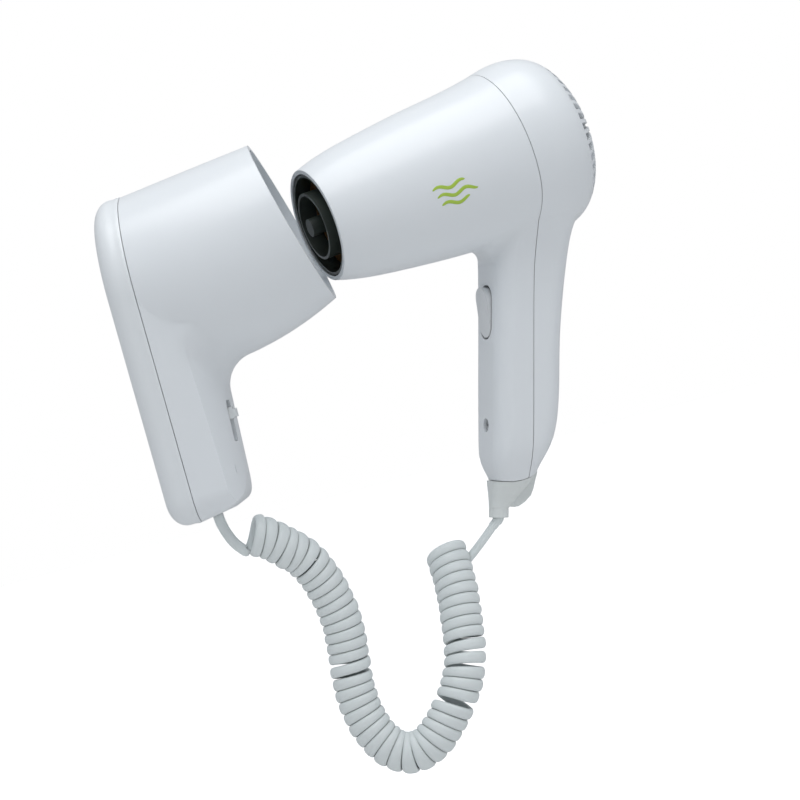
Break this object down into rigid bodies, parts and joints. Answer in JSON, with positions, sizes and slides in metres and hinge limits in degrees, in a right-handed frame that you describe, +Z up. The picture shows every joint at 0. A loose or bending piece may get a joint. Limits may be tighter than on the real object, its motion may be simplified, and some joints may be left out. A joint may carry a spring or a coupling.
{
  "type": "wall-holder hair dryer",
  "caption": "White hand-held hair dryer with a coiled cord, lifted out of the round cup of its wall holder, with a slide switch on the stem.",
  "frame": {"origin": "on the holder's wall face, in its mid-plane, 70 mm above its bottom edge", "axes": "+X out of the wall towards the open cup, +Z up, +Y to the holder's left seen from the wall"},
  "size_m": [0.2127, 0.1176, 0.2867],
  "materials": {
    "shell_gloss": "moulded gloss white",
    "shell_plain": "moulded satin white",
    "knob_plastic": "moulded white",
    "cream_plastic": "moulded off-white",
    "black_plastic": "moulded black",
    "cord_rubber": "flexible white-grey jacket",
    "boot_rubber": "flexible white-grey moulding",
    "wire_sleeve": "wire insulation",
    "screw_steel": "zinc plated",
    "brass": "turned",
    "mica": "pressed mica sheet",
    "heater_wire": "drawn resistance wire",
    "magnet": "sintered",
    "copper": "wound and varnished",
    "board": "laminate"
  },
  "bodies": {
    "holder": {"wall_cover": "shell_plain", "holder_housing": "shell_gloss", "holder_cover_screws": "screw_steel", "power_switch_body": "black_plastic", "terminal_block": "cream_plastic", "terminal_screws": "brass", "holder_cord_clamp": "cream_plastic", "holder_clamp_screws": "screw_steel", "holder_wires": "wire_sleeve", "coiled_cord": "cord_rubber"},
    "power_knob": {"power_slide_knob": "knob_plastic"},
    "cord_end": {"cord_end_sleeve": "cord_rubber"},
    "handset": {"front_shell": "shell_gloss", "rear_shell": "shell_gloss", "handle_screw": "screw_steel", "outlet_grille": "black_plastic", "heat_shield_tube": "mica", "heater_mica_frame": "mica", "heating_coil": "heater_wire", "thermostat": "brass", "thermal_fuse": "heater_wire", "fan_duct": "cream_plastic", "motor_damping_ring": "boot_rubber", "motor_can": "screw_steel", "motor_end_cap": "cream_plastic", "motor_bearings": "brass", "motor_magnets": "magnet", "motor_brushes": "magnet", "rectifier_board": "board", "inlet_filter_screen": "cream_plastic", "rocker_switch_body": "black_plastic", "cord_boot": "boot_rubber", "handset_cord_clamp": "cream_plastic", "handset_clamp_screws": "screw_steel", "handset_wires": "wire_sleeve"},
    "rocker": {"speed_rocker": "shell_gloss"},
    "fan": {"fan_impeller": "black_plastic", "motor_shaft": "screw_steel", "motor_armature": "copper"}
  },
  "joints": [
    {"name": "handset_dock", "type": "slide", "parent": "holder", "child": "cord_end", "axis": [-0.7886, -0.6143, -0.0275], "range_m": [0, 0.05453], "deforming": ["coiled_cord"]},
    {"name": "handset_turn", "type": "hinge", "parent": "cord_end", "child": "handset", "pos_m": [0.132, 0.0335, -0.1006], "axis": [0.2588, 0, 0.9659], "range_deg": [-23.7, 0]},
    {"name": "power_slide", "type": "slide", "parent": "holder", "child": "power_knob", "axis": [0.0384, 0, 0.9993], "range_m": [-0.0085, 0.0026]},
    {"name": "rocker_tilt", "type": "hinge", "parent": "handset", "child": "rocker", "pos_m": [0.15228, 0.0325, -0.01607], "axis": [-0.3867, 0.9164, 0.1036], "range_deg": [0, 12]},
    {"name": "fan_spin", "type": "hinge", "parent": "handset", "child": "fan", "pos_m": [0.17731, 0.0357, 0.04903], "axis": [0.92, 0.3755, 0.1127], "continuous": true}
  ],
  "couplings": [
    {"joint": "handset_turn", "follows": "handset_dock", "rad_per_m": -7.5536}
  ]
}
